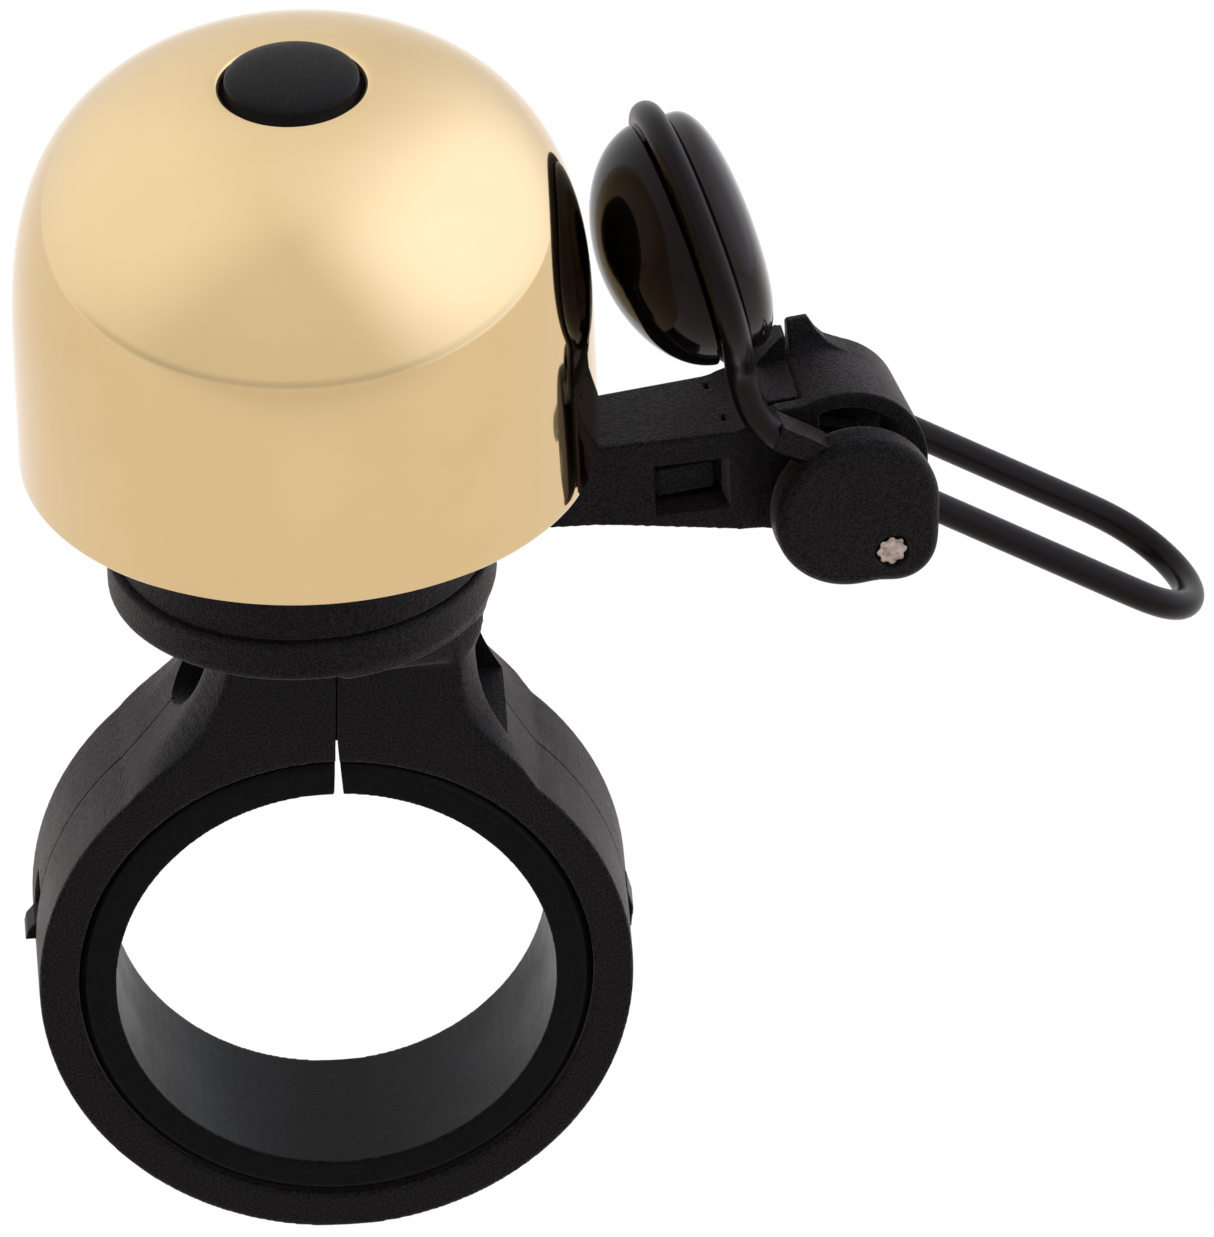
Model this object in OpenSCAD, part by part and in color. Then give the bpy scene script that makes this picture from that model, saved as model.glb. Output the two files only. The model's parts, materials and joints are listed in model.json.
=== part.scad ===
// Handlebar bell: a brass dome on a split clamp, with a sprung wire lever that swings a round striker.
// Millimetres. The origin is the centre of the handlebar bore, +Y runs along the bar, +Z up through
// the bell, and the lever arm points towards +X, turned a little about Z.

/* [Handlebar clamp] */
// Radius of the handlebar that the liner grips
bar_r = 11.1; // [10.9:0.1:11.3]
// Radius of the clamp ring's own bore, with the liner taken out
clamp_bore_r = 13; // [12.9:0.1:13.2]
// Outside radius of the clamp ring
ring_r = 15; // [14.8:0.1:15.6]
// Width of the clamp along the bar
clamp_w = 9.5; // [8.5:0.5:11]
// Width of the split at the clamp's bore
split_w = 0.4; // [0.3:0.1:0.6]

/* [Base disc and spigot] */
// Height of the underside of the base disc above the bar's centre
disc_z = 21.2; // [21.2:0.1:21.6]
// Radius of the base disc
disc_r = 9.8; // [9.4:0.1:10.4]
// Thickness of the base disc
disc_t = 2.35; // [2.2:0.05:2.4]
// Radius of the spigot that the arm's hub turns on
spigot_r = 4; // [3.8:0.1:4.2]

/* [Bell] */
// Outside radius of the bell
bell_r = 14.6; // [14.2:0.1:14.8]
// Height of the bell's rim above the bar's centre
rim_z = 28.75; // [28.6:0.05:29]
// Height of the straight part of the bell
bell_straight = 6.2; // [5:0.1:7]
// Height of the domed part of the bell
bell_dome_h = 15.7; // [15.4:0.1:16.2]
// Squareness of the dome: 2 is an ellipse and more is boxier
bell_power = 2.88; // [2.4:0.02:3]
// Thickness of the brass
bell_wall = 1.1; // [0.9:0.1:1.2]
// Radius of the recess in the crown
crown_r = 3.7; // [3.6:0.1:3.9]

/* [Arm] */
// Turn of the arm about the bell's axis, in degrees
arm_yaw = 13; // [0:1:45]
// Radius of the hub ring under the bell
hub_r = 9.5; // [9.2:0.1:9.6]
// Height of the top of the box arm
arm_top = 27.2; // [27:0.1:27.4]
// Half width of the pivot head
head_half = 2.85; // [2.7:0.05:2.9]

/* [Lever] */
// Distance of the lever's pin from the bell's axis
pin_x = 28.6; // [28.4:0.1:28.8]
// Height of the lever's pin above the bar's centre
pin_z = 19.9; // [19.8:0.05:20.1]
// Radius of each round cheek of the lever
cheek_r = 4.15; // [4:0.05:4.2]
// Thickness of each cheek
cheek_t = 2.4; // [2.3:0.1:2.6]
// Radius of the coated wire
wire_r = 0.76; // [0.7:0.02:0.8]
// Distance of each wire leg from the arm's middle plane
wire_half = 4.18; // [4.1:0.02:4.3]
// Slope of the thumb loop below level, in degrees
loop_slope = 36; // [34:1:37]

/* [Striker] */
// Distance of the striker's centre from the bell's axis
striker_x = 20.23; // [20.2:0.01:20.4]
// Height of the striker's centre above the bar's centre
striker_z = 37.1; // [36.8:0.1:37.4]
// Lean of the striker towards the bell, in degrees
striker_lean = 12; // [11:1:13]
// Radius of the wire ring round the striker, to the wire's middle
wire_ring_r = 6.63; // [6.6:0.01:6.7]

/* [Hidden] */
$fn = 96;
cut = 1;                  // how far a cutting shape runs past the face that it cuts
plastic = "#262425";
steel = "#b5b0a8";
brass = "#dbbf8f";

// Clamp and neck
clamp_half = clamp_w / 2;
split_x = 0.57;           // the split lies just right of the middle
seam_w = 0.12;            // above the bore the split narrows to a seam, which leans out a little
seam_lean = 0.15;
seam_z = 14;
pocket_bottom = 13.1;     // floor of the screw head's pocket
pocket_z = 16.6;          // centre of the nut pocket's round bottom
neck_left_x = -5.3;       // sides of the neck, each a Bezier curve that runs into the ring
neck_left = [[neck_left_x, 20.6], [neck_left_x, 16.9], [-7.4, 14.3], [-10.2, 11]];
neck_right_x = 7.9;
neck_right = [[neck_right_x, 19], [neck_right_x, 16.4], [8, 15], [10.7, 10.5]];
disc_shift = -0.65;       // the disc and the arm's hub stand a little behind the bell's axis
hub_shift = -0.55;
flare_z = 18.6;           // where the flare under the disc leaves the neck
flare_half = 4.4;
under_gap = 0.2;          // gap between the disc and the clamp's free end
screw_z = 17.4;           // height of the clamp's cross screw
pocket_x = 3;             // where the screw's pockets start, either side
pocket_half = 2.25;
pocket_wide = 3.1;        // half width of the flat-bottomed pocket
screw_r = 1.5;
screw_hole_r = 1.65;
clamp_screw_r = 1;
clamp_hole_r = 1.15;
clamp_core_r = 0.85;
washer_t = 0.5;
head_r = 1.9;
head_t = 2;
head_socket_r = 0.87;
nut_flats = 4;            // size of the hexagon nut across its flats
nut_t = 1.6;
barb_y = [0.1, 2.1];      // the liner's barbs lie just beyond the middle of the ring
window_left = [0.2, 3.1];
window_right = [-1.2, 1.3];
barb_out = 0.5;           // how far the left barb stands out of the ring
groove = 0.12;            // width and depth of the parting line
liner_r = clamp_bore_r - 0.02;
liner_chamfer = 0.45;

// Stack inside the bell, from the bottom up
disc_top = disc_z + disc_t;
spigot_top = 28;
insert_r = 2.4;
insert_z = disc_top + 0.4;
thread_core_r = 1.25;
slip = 0.05;              // running clearance
hub_bottom = disc_top + slip;
hub_top = 27.5;
flange_r = 5.2;
flange_t = 1;
post_r = 3;
crown_z = rim_z + bell_straight + bell_dome_h;
recess_floor = crown_z - 1.15;
pan_t = 0.85;
pan_r = crown_r + 0.9;
seat_t = 0.7;
post_top = recess_floor - pan_t - seat_t;
screw_tip = disc_top - 0.1;
bell_head_r = 2.5;
bell_head_t = 1;
cap_r = 3.4;
cap_rise = 0.5;           // crown of the cap above the edge of the recess

// Arm and head, in the arm's own frame: X along the arm, Y across, Z up
arm_floor = [[8, hub_bottom], [10.7, hub_bottom], [10.9, 23.1], [12, 22.9], [15.5, 22.4],
    [19.3, 21.75], [21.3, 21.4]];
arm_end = 21.3;
far_side = 2.5;
near_start = -2.3;        // the near side widens a little towards the head
near_end = -3.2;
cavity = [[14, 23.3], [17.1, 22.7], [arm_end + cut, 21.95], [arm_end + cut, 26.3], [14, 26.3]];
cavity_near = -1.5;
cavity_far = 1.5;
window_x = [17.1, 20.9];
window_z = [22.8, 25.75];
tongue_z = [23.5, 25.9];
latch_x = [17.4, 20.3];
latch_z = [23.55, 25.1];
latch_near = -2.1;
shroud_x = 26.75;
shroud_z = 23.5;
shroud_r = 4.6;
shroud_wall = 0.85;
slot_x = [23.35, 25.12];  // the slot's far end reaches slot_skew further
slot_skew = 0.48;
slot_floor = 25.2;
slot_near = -2.1;
block_gap = 0.18;
lip_x = [25.6, 27.15];
lip_y = [2.2, head_half];
lip_top = 29.55;
notch = [0.35, 0.5, 0.3]; // two small notches where the arm meets the head
lug_in = 1.7;
lug_r = 2.1;

// Lever
cheek_x = pin_x - 1.65;
cheek_z = pin_z + 2.5;
cheek_in = 3.05;
cheek_taper = 1.1;        // the cheek's inner half narrows by as much as it is deep
lobe_x = pin_x + 0.45;    // small lobe round the end of the pin
lobe_z = pin_z + 0.05;
lobe_r = 1.95;
pin_r = 0.68;
pin_end = cheek_in + cheek_t - 0.1;
spline_count = 8;
spline_r = 0.18;
pin_recess_r = 0.95;
sleeve_half = 1.55;
sleeve_r = 1.35;
coil_r = 1.75;
coil_wire_r = 0.2;
spring_leg_r = 0.17;
coil_count = 6;
coil_pitch = 0.36;
// The near half of the wire runs riser_top, knee, bend, loop_tip
knee = [21.9, -wire_half, 28.9];
bend = [22.75, -wire_half, 27.5];
loop_run = 23.75;         // length of the loop's straight legs from the bend
loop_tip = bend + loop_run * [cos(loop_slope), 0, -sin(loop_slope)];
joint_r = wire_r + 0.03;  // balls that fill the wire's corners
ring_groove_r = wire_r + 0.02;

// Striker
striker_out = 4.36;       // depth of the front dome
striker_skirt = 0.5;
striker_rim = 0.4;        // the front half stops short of the ring's middle plane
striker_front_r = 6.45;
striker_back_r = 6.3;
striker_back_h = 1.95;
striker_shell = 0.9;
boss_r = 2;
peg_r = 1.2;
leg_angle = asin(wire_half / wire_ring_r);
leg_drop = wire_ring_r * cos(leg_angle);
riser_top = [striker_x + sin(striker_lean) * leg_drop, -wire_half,
    striker_z - cos(striker_lean) * leg_drop];

// Points of a Bezier curve with four control points
function bezier(p, steps) = [for (i = [0:steps]) let (t = i / steps, u = 1 - t)
    u * u * u * p[0] + 3 * u * u * t * p[1] + 3 * u * t * t * p[2] + t * t * t * p[3]];
// Points of a superellipse from its widest ring up to its crown
function dome_arc(r, h, power, from, to, steps) = [for (i = [0:steps])
    let (a = from + (to - from) * i / steps)
    [r * pow(cos(a), 2 / power), h * pow(sin(a), 2 / power)]];
function lift(points, dz) = [for (p = points) [p[0], p[1] + dz]];
function backwards(points) = [for (i = [len(points) - 1:-1:0]) points[i]];

// A profile drawn in X and Z, extruded between two values of Y
module between(y0, y1) {
    rotate([90, 0, 0])
        translate([0, 0, -y1])
            linear_extrude(y1 - y0)
                children();
}

module block(low, high) {
    translate(low)
        cube(high - low);
}

// Round bar from one point to another
module rod(a, b, r) {
    run = b - a;
    translate(a)
        rotate([0, acos(run[2] / norm(run)), atan2(run[1], run[0])])
            cylinder(h = norm(run), r = r);
}

module in_arm_frame() {
    rotate([0, 0, arm_yaw])
        children();
}

// Across the arm, centred on the lever's pin
module at_pin() {
    translate([pin_x, 0, pin_z])
        rotate([90, 0, 0])
            children();
}

// The striker's own frame: +Z points from the bell through the striker, X towards the pin
module at_striker() {
    translate([striker_x, 0, striker_z])
        rotate([0, 90 - striker_lean, 0])
            children();
}

module bell_dome() {
    steps = 22;
    outer = lift(dome_arc(bell_r, bell_dome_h, bell_power, 0, 84, steps), bell_straight);
    inner = lift(dome_arc(bell_r - bell_wall, bell_dome_h - bell_wall, bell_power, 0, 84, steps),
        bell_straight);
    shell = concat([[bell_r - bell_wall, 0], [bell_r, 0]], outer, [[0, crown_z - rim_z]],
        [[0, crown_z - rim_z - bell_wall]], backwards(inner));
    color(brass)
        difference() {
            union() {
                translate([0, 0, rim_z])
                    rotate_extrude()
                        polygon(shell);
                translate([0, 0, recess_floor - pan_t])
                    cylinder(h = pan_t + 0.2, r = pan_r);
            }
            translate([0, 0, recess_floor])
                cylinder(h = 2 * cut, r = crown_r);
            translate([0, 0, recess_floor - pan_t - cut])
                cylinder(h = pan_t + 2 * cut, r = screw_hole_r);
        }
}

module crown_cap() {
    edge_h = crown_z - recess_floor + 0.2;
    dome = lift(dome_arc(cap_r, cap_rise, 2, 0, 90, 12), edge_h);
    color(plastic)
        difference() {
            translate([0, 0, recess_floor])
                rotate_extrude()
                    polygon(concat([[0, 0], [cap_r, 0]], dome));
            translate([0, 0, recess_floor - cut])
                cylinder(h = bell_head_t + cut, r = bell_head_r + 0.1);
        }
}

module bell_screw() {
    color(steel)
        difference() {
            union() {
                translate([0, 0, screw_tip])
                    cylinder(h = recess_floor - screw_tip, r = screw_r);
                translate([0, 0, recess_floor])
                    cylinder(h = bell_head_t, r = bell_head_r);
            }
            translate([0, 0, recess_floor + bell_head_t - 0.6])
                cylinder(h = cut, r = 1.1, $fn = 6);
        }
}

module ring_shape(z, h, r_out, r_in) {
    translate([0, 0, z])
        difference() {
            cylinder(h = h, r = r_out);
            translate([0, 0, -cut])
                cylinder(h = h + 2 * cut, r = r_in);
        }
}

module seat_washer() {
    color("#3a3636")
        ring_shape(post_top, seat_t, 4.4, screw_hole_r);
}

module bell_post() {
    color("#c9c7c2")
        union() {
            ring_shape(spigot_top, flange_t, flange_r, screw_hole_r);
            ring_shape(spigot_top + flange_t, post_top - spigot_top - flange_t, post_r, screw_hole_r);
        }
}

module friction_washer() {
    color("#8d8a84")
        ring_shape(hub_top + slip, spigot_top - hub_top - slip, flange_r, spigot_r + slip);
}

module thread_insert() {
    color(brass)
        ring_shape(insert_z, spigot_top - insert_z - 0.1, insert_r, thread_core_r);
}

module base_disc() {
    edge = 0.3;
    translate([disc_shift, 0, 0])
        rotate_extrude()
            polygon([[0, disc_z], [disc_r - edge, disc_z], [disc_r - edge * 0.3, disc_z + edge * 0.3],
                [disc_r, disc_z + edge], [disc_r, disc_top - edge / 2],
                [disc_r - edge / 2, disc_top], [0, disc_top]]);
}

// Flare under the disc, on the side where the neck and the disc are one
module neck_flare() {
    start = split_x + 0.4;
    hull() {
        block([start, -flare_half, flare_z - 0.1], [neck_right_x, flare_half, flare_z]);
        intersection() {
            translate([disc_shift, 0, disc_z - 0.1])
                cylinder(h = 0.4, r = disc_r - 0.1);
            block([start, -disc_r, 0], [disc_r, disc_r, disc_top]);
        }
    }
}

// The nut's pocket has a round bottom and the screw head's a flat one
module nut_pocket() {
    x0 = -pocket_x - ring_r;
    block([x0, -pocket_half, pocket_z], [-pocket_x, pocket_half, disc_z - under_gap / 2]);
    translate([x0, 0, pocket_z])
        rotate([0, 90, 0])
            cylinder(h = ring_r, r = pocket_half);
}

module head_pocket() {
    block([pocket_x, -pocket_wide, pocket_bottom], [ring_r, pocket_wide, disc_z - under_gap / 2]);
}

// Split between the free end and the fixed end: a wedge at the bore and a seam above it
module split(wider) {
    top = split_x + seam_lean;
    mouth = split_w / 2 + wider;
    seam = seam_w / 2;
    between(-disc_r, disc_r)
        polygon([[split_x - mouth, bar_r - cut], [split_x - mouth, bar_r], [split_x - seam, seam_z],
            [top - seam, screw_z], [top - seam, disc_z], [top + seam, disc_z], [top + seam, screw_z],
            [split_x + seam, seam_z], [split_x + mouth, bar_r], [split_x + mouth, bar_r - cut]]);
}

module barb_window(x, z) {
    gap = 0.1;
    deep = 3;
    block([x - deep, barb_y[0] - gap, z[0]], [x + deep, barb_y[1] + gap, z[1]]);
}

module clamp_base() {
    color(plastic)
        difference() {
            union() {
                between(-clamp_half, clamp_half)
                    circle(ring_r);
                between(-clamp_half, clamp_half)
                    polygon(concat([[neck_left_x, disc_z]], bezier(neck_left, 14),
                        backwards(bezier(neck_right, 14)), [[neck_right_x, disc_z]]));
                base_disc();
                neck_flare();
                translate([0, 0, disc_top])
                    cylinder(h = spigot_top - disc_top, r = spigot_r);
            }
            between(-clamp_half - cut, clamp_half + cut)
                circle(clamp_bore_r);
            split(0);
            // gap that frees the clamp's left end from the disc
            block([-2 * disc_r, -disc_r, disc_z - under_gap],
                [split_x + seam_lean + seam_w / 2, disc_r, disc_z]);
            nut_pocket();
            head_pocket();
            translate([-pocket_x - cut, 0, screw_z])
                rotate([0, 90, 0])
                    cylinder(h = 2 * (pocket_x + cut), r = clamp_hole_r);
            translate([0, 0, insert_z - 0.6])
                cylinder(h = spigot_top, r = insert_r);
            barb_window(-ring_r, window_left);
            barb_window(ring_r, window_right);
            // parting line round the ring
            between(-groove / 2, groove / 2)
                difference() {
                    circle(ring_r + cut);
                    circle(ring_r - groove);
                }
        }
}

module bar_liner() {
    c = liner_chamfer;
    section = [[bar_r, -clamp_half], [liner_r - c, -clamp_half], [liner_r, -clamp_half + c],
        [liner_r, clamp_half - c], [liner_r - c, clamp_half], [bar_r, clamp_half]];
    barb_root = liner_r - 0.3;
    barb_left = [[-barb_root, 0.28], [-ring_r - barb_out, 0.3], [-ring_r - barb_out + 0.1, 0.7],
        [-ring_r, 1.2], [-barb_root, 1.6]];
    barb_right = [[barb_root, -1.1], [ring_r + 0.1, -1], [ring_r + 0.25, 0], [ring_r, 1.1],
        [barb_root, 1.2]];
    color("#2b2829")
        difference() {
            union() {
                rotate([90, 0, 0])
                    rotate_extrude()
                        polygon(section);
                between(barb_y[0], barb_y[1])
                    polygon(barb_left);
                between(barb_y[0], barb_y[1])
                    polygon(barb_right);
            }
            split(0.02);
        }
}

module along_x(x, z) {
    translate([x, 0, z])
        rotate([0, 90, 0])
            children();
}

module clamp_screw() {
    head_x = pocket_x + washer_t;
    tip_x = -pocket_x - nut_t - 0.4;
    color(steel)
        difference() {
            union() {
                along_x(tip_x, screw_z)
                    cylinder(h = head_x - tip_x, r = clamp_screw_r);
                along_x(head_x, screw_z)
                    cylinder(h = head_t, r = head_r);
            }
            along_x(head_x + head_t - 1, screw_z)
                cylinder(h = 2 * cut, r = head_socket_r, $fn = 6);
        }
}

module clamp_washer() {
    color(steel)
        along_x(pocket_x, screw_z)
            ring_shape(0, washer_t, head_r, clamp_hole_r);
}

module clamp_nut() {
    color(steel)
        difference() {
            along_x(-pocket_x - nut_t, screw_z)
                cylinder(h = nut_t, r = nut_flats / 2 / cos(30), $fn = 6);
            along_x(-pocket_x - nut_t - cut, screw_z)
                cylinder(h = nut_t + 2 * cut, r = clamp_core_r);
        }
}

module arm_bracket() {
    side_view = concat(arm_floor, [[arm_end, arm_top], [8, arm_top]]);
    plan = [[8, near_start + 0.1], [14, near_start], [arm_end, near_end], [arm_end, far_side],
        [8, far_side]];
    color(plastic)
        in_arm_frame()
            difference() {
                union() {
                    translate([hub_shift, 0, hub_bottom])
                        cylinder(h = hub_top - hub_bottom, r = hub_r);
                    intersection() {
                        between(-2 * far_side, 2 * far_side)
                            polygon(side_view);
                        linear_extrude(crown_z)
                            polygon(plan);
                    }
                }
                translate([0, 0, disc_z])
                    cylinder(h = spigot_top, r = spigot_r + slip);
                between(cavity_near, cavity_far)
                    polygon(cavity);
                block([window_x[0], -2 * far_side, window_z[0]], [window_x[1], 0, window_z[1]]);
                for (y = [-1.9, 1.2])
                    translate([arm_end - notch[0], y, arm_top - notch[2]])
                        cube(notch + [cut, 0, cut]);
            }
}

// The neck is as wide as the arm where they meet, and narrows to the head
module head_neck() {
    start = arm_end + 0.02;
    intersection() {
        between(near_end, -near_end)
            polygon([[start, 21.4], [23.2, 20.8], [24.4, 20.4], [24.4, 22.4], [25.75, 25],
                [25.75, 27.8], [23.6, 27.8], [22.6, arm_top + 0.1], [start, arm_top]]);
        linear_extrude(crown_z)
            polygon([[start, near_end], [22.6, -head_half], [27, -head_half], [27, head_half],
                [22.6, head_half], [start, far_side]]);
    }
}

module head_shroud() {
    between(-head_half, head_half)
        intersection() {
            difference() {
                translate([shroud_x, shroud_z])
                    circle(shroud_r);
                translate([shroud_x, shroud_z])
                    circle(shroud_r - shroud_wall);
            }
            polygon([[slot_x[1], 26.5], [shroud_x, shroud_z], [pin_x + 6, 20.5], [pin_x + 6, 30],
                [slot_x[1], 30]]);
        }
}

module head_lug(y0) {
    between(y0, y0 + head_half - lug_in)
        union() {
            translate([pin_x, pin_z])
                circle(lug_r);
            polygon([[23.6, 20.6], [pin_x, pin_z - lug_r], [pin_x + lug_r, pin_z], [29.2, 22.6],
                [24.2, 24.6]]);
        }
}

// Upstand at the far edge of the head's top, eased into the top on its near and outer sides
module head_lip() {
    foot = 27.5;
    ramp = foot + 0.85;
    x0 = lip_x[0];
    intersection() {
        between(-head_half, head_half)
            polygon([[x0, foot], [x0, lip_top - 0.1], [x0 + 0.1, lip_top], [lip_x[1] - 0.4, lip_top],
                [lip_x[1], lip_top - 0.75], [lip_x[1] + 0.4, 28.3], [lip_x[1] + 1, 27.95],
                [lip_x[1] + 1.9, foot]]);
        translate([x0, 0, 0])
            rotate([90, 0, 90])
                linear_extrude(head_half)
                    polygon([[lip_y[0] - 1.3, foot], [lip_y[0] - 0.3, ramp], [lip_y[0], lip_top - 0.3],
                        [lip_y[0] + 0.2, lip_top], [lip_y[1], lip_top], [lip_y[1], foot]]);
    }
}

// Plan of the slot in the head's top, shrunk by a gap on its near and outer sides
module slot_shape(gap, over) {
    far = head_half + over;
    translate([0, 0, slot_floor])
        linear_extrude(lip_top - slot_floor + cut)
            polygon([[slot_x[0], slot_near + gap], [slot_x[1] - gap, slot_near + gap],
                [slot_x[1] + slot_skew - gap, far], [slot_x[0], far]]);
}

module pivot_head() {
    color(plastic)
        in_arm_frame()
            difference() {
                union() {
                    head_neck();
                    head_shroud();
                    head_lug(-head_half);
                    head_lug(lug_in);
                    head_lip();
                    // tongue that plugs into the arm, and its latch
                    block([14.6, cavity_near, tongue_z[0]], [arm_end + cut, cavity_far, tongue_z[1]]);
                    block([latch_x[0], latch_near, latch_z[0]], [latch_x[1], 0, latch_z[1]]);
                }
                slot_shape(0, 2 * cut);
                at_pin()
                    cylinder(h = 4 * head_half, r = pin_r + slip, center = true);
            }
}

module latch_block() {
    far = head_half - 0.15;
    x1 = slot_x[1] + slot_skew * 0.6;
    color(plastic)
        in_arm_frame()
            intersection() {
                slot_shape(block_gap, -0.15);
                union() {
                    block([slot_x[0], -head_half, slot_floor], [x1 + cut, head_half, 27.85]);
                    between(far - 1.3, far)
                        polygon([[slot_x[0] + 0.4, 27.5], [x1 + cut, 27.5], [x1 + cut, 29.1],
                            [x1 - block_gap - 0.2, 29.3], [slot_x[0] + 0.4, 28]]);
                }
            }
}

module pivot_pin() {
    color(steel)
        in_arm_frame()
            at_pin()
                union() {
                    cylinder(h = 2 * pin_end, r = pin_r, center = true);
                    for (side = [-1, 1], i = [0:spline_count - 1])
                        rotate([0, 0, i * 360 / spline_count])
                            translate([pin_r - 0.05, 0, side * (pin_end - 0.55)])
                                cylinder(h = 1.1, r = spline_r, center = true, $fn = 16);
                }
}

module spring_sleeve() {
    color("#4a4647")
        in_arm_frame()
            at_pin()
                ring_shape(-sleeve_half, 2 * sleeve_half, sleeve_r, pin_r);
}

module return_spring() {
    first = -(coil_count - 1) * coil_pitch / 2;
    last = -first;
    color(steel)
        in_arm_frame()
            union() {
                at_pin()
                    for (i = [0:coil_count - 1])
                        translate([0, 0, first + i * coil_pitch])
                            rotate_extrude()
                                translate([coil_r, 0])
                                    circle(coil_wire_r, $fn = 16);
                rod([pin_x, first, pin_z + coil_r], [24.75, first, pin_z + coil_r + 0.6], spring_leg_r);
                rod([pin_x, last, pin_z + coil_r], [pin_x + 2.2, last, pin_z + coil_r - 0.3], spring_leg_r);
            }
}

module tapered_boss(x, z, r) {
    translate([x, -cheek_in - cheek_taper, z])
        rotate([-90, 0, 0])
            cylinder(h = cheek_taper, r1 = r, r2 = r - cheek_taper);
}

module cheek() {
    between(-cheek_in - cheek_t, -cheek_in - cheek_taper)
        union() {
            translate([cheek_x, cheek_z])
                circle(cheek_r);
            translate([lobe_x, lobe_z])
                circle(lobe_r);
            polygon([[cheek_x, cheek_z], [cheek_x + cheek_r, cheek_z], [lobe_x + lobe_r, lobe_z],
                [lobe_x, lobe_z], [lobe_x - 0.7, lobe_z - 1.78], [cheek_x, cheek_z - cheek_r]]);
        }
    tapered_boss(cheek_x, cheek_z, cheek_r);
    tapered_boss(lobe_x, lobe_z, lobe_r);
    // collar round the wire where it leaves the cheek
    between(-wire_half - wire_r - 0.04, -cheek_in - 0.1)
        polygon([[22.8, 26.9], [23.4, 28.1], [24.9, 27.05], [26, 26.2], [25.4, 25.4], [24, 26.2]]);
}

module drilled_cheek() {
    difference() {
        cheek();
        rod(bend, loop_tip, wire_r);
        rod(knee, bend, wire_r + 0.01);
        ball(bend);
        at_pin()
            cylinder(h = 4 * cheek_in, r = pin_r, center = true);
        at_pin()
            translate([0, 0, cheek_in + cheek_t - 1.2])
                cylinder(h = 2 * cut, r = pin_recess_r);
    }
}

module near_cheek() {
    color(plastic)
        in_arm_frame()
            drilled_cheek();
}

module far_cheek() {
    color(plastic)
        in_arm_frame()
            mirror([0, 1, 0])
                drilled_cheek();
}

module ball(p) {
    translate(p)
        sphere(joint_r, $fn = 48);
}

// Half of the wire, on the near side: loop leg, bend, knee and riser to the striker's ring
module half_wire() {
    rod(bend, loop_tip, wire_r, $fn = 48);
    ball(bend);
    rod(knee, bend, wire_r, $fn = 48);
    ball(knee);
    rod(riser_top, knee, wire_r, $fn = 48);
    ball(riser_top);
    ball(loop_tip);
}

module lever_wire() {
    color("#1b1a1a")
        in_arm_frame()
            union() {
                half_wire();
                mirror([0, 1, 0])
                    half_wire();
                // round end of the thumb loop
                translate([loop_tip[0], 0, loop_tip[2]])
                    rotate([0, loop_slope, 0])
                        rotate([0, 0, -90])
                            rotate_extrude(angle = 180)
                                translate([wire_half, 0])
                                    circle(wire_r, $fn = 48);
                // ring round the striker, open at the bottom between the legs
                at_striker()
                    rotate([0, 0, leg_angle])
                        rotate_extrude(angle = 360 - 2 * leg_angle)
                            translate([wire_ring_r, 0])
                                circle(wire_r, $fn = 48);
            }
}

// Groove that the wire ring sits in
module ring_groove() {
    rotate_extrude()
        translate([wire_ring_r, 0])
            circle(ring_groove_r, $fn = 48);
}

module striker_front() {
    outer = dome_arc(striker_front_r, striker_out, 1.95, 0, 90, 16);
    profile = concat([[0, 0], [boss_r, 0], [boss_r, striker_rim], [striker_front_r, striker_rim]],
        lift(outer, striker_skirt));
    inner = dome_arc(striker_front_r - striker_shell, striker_out - striker_shell, 1.95, 0, 90, 12);
    hollow = concat([[boss_r, -cut], [striker_front_r - striker_shell, -cut]],
        [for (p = lift(inner, striker_skirt)) if (p[0] > boss_r) p], [[boss_r, striker_out - 0.6]]);
    color("#1b1a1a")
        in_arm_frame()
            at_striker()
                difference() {
                    mirror([0, 0, 1])
                        difference() {
                            rotate_extrude()
                                polygon(profile);
                            rotate_extrude()
                                polygon(hollow);
                            translate([0, 0, -cut])
                                cylinder(h = 3.2 + cut, r = peg_r);
                        }
                    ring_groove();
                }
}

module striker_back() {
    start = 0.05;
    outer = dome_arc(striker_back_r, striker_back_h, 2.5, 0, 90, 14);
    profile = concat([[0, start], [striker_back_r, start]], lift(outer, 1.1));
    color("#1b1a1a")
        in_arm_frame()
            at_striker()
                difference() {
                    union() {
                        rotate_extrude()
                            polygon(profile);
                        translate([0, 0, -3])
                            cylinder(h = 3.2, r = peg_r);
                    }
                    ring_groove();
                }
}

bell_dome();
crown_cap();
bell_screw();
seat_washer();
bell_post();
friction_washer();
thread_insert();
clamp_base();
bar_liner();
clamp_screw();
clamp_washer();
clamp_nut();
arm_bracket();
pivot_head();
latch_block();
pivot_pin();
spring_sleeve();
return_spring();
near_cheek();
far_cheek();
lever_wire();
striker_front();
striker_back();
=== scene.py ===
import json
import math

import bmesh
import bpy
from mathutils import Matrix, Vector

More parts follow.
